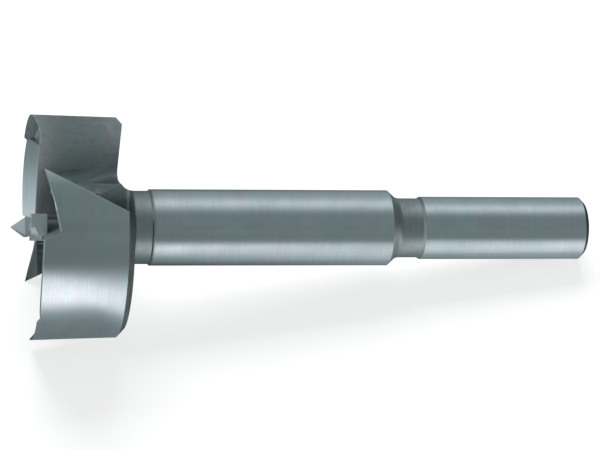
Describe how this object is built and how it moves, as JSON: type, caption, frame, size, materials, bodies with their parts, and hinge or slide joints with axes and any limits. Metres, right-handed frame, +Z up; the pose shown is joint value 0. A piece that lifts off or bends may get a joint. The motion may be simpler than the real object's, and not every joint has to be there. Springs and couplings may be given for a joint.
{
  "type": "forstner bit",
  "caption": "Two-wing forstner bit with rim spurs, a centre point, chip gullets and a stepped straight shank, lying at rest on its side.",
  "frame": {"origin": "on the floor, under the middle of the bit as it lies at rest", "axes": "+X runs along the bit from its centre point towards its shank, +Z is up; the bit's own axis slopes down towards the shank by about 7 degrees"},
  "size_m": [0.0924, 0.035, 0.032],
  "materials": {
    "ground_steel": "satin ground tool steel"
  },
  "bodies": {
    "root": {"forstner_bit": "ground_steel"}
  },
  "joints": []
}
